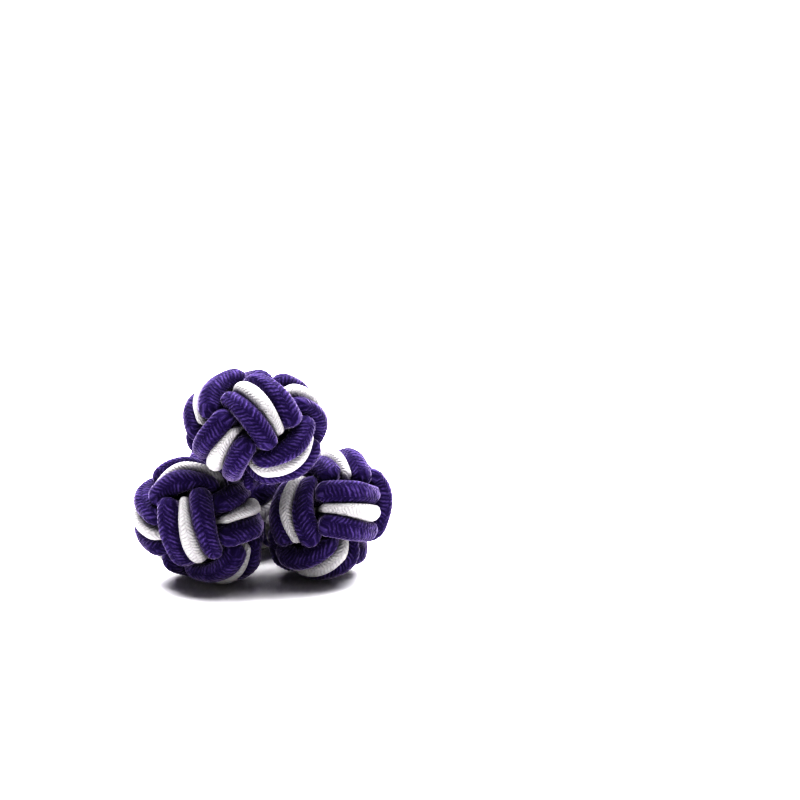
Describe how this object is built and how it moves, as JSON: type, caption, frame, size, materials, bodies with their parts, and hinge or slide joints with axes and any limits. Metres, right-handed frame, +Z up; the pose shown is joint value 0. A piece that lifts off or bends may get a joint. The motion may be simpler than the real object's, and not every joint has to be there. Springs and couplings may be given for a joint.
{
  "type": "silk knot cuff button",
  "caption": "Cuff button of soft cord balls tied in two colours and clustered on a short elastic neck, which fastens a shirt's double cuff.",
  "frame": {"origin": "on the floor, under the middle of the cluster's bounding box", "axes": "+Z up, +X from the left ball to the right ball, +Y from the two front balls to the back ball, away from the camera"},
  "size_m": [0.0212, 0.023, 0.0188],
  "materials": {
    "purple_cord": "braided silk cord with a soft sheen",
    "white_cord": "ribbed silk cord with a soft sheen",
    "neck_cord": "matt covered elastic"
  },
  "bodies": {
    "root": {"top_white_cord": "white_cord", "top_purple_cord_1": "purple_cord", "top_purple_cord_2": "purple_cord", "left_white_cord": "white_cord", "left_purple_cord_1": "purple_cord", "left_purple_cord_2": "purple_cord", "right_white_cord": "white_cord", "right_purple_cord_1": "purple_cord", "right_purple_cord_2": "purple_cord", "back_white_cord": "white_cord", "back_purple_cord_1": "purple_cord", "back_purple_cord_2": "purple_cord", "front_neck_cord": "neck_cord", "back_neck_cord": "neck_cord"}
  },
  "joints": []
}
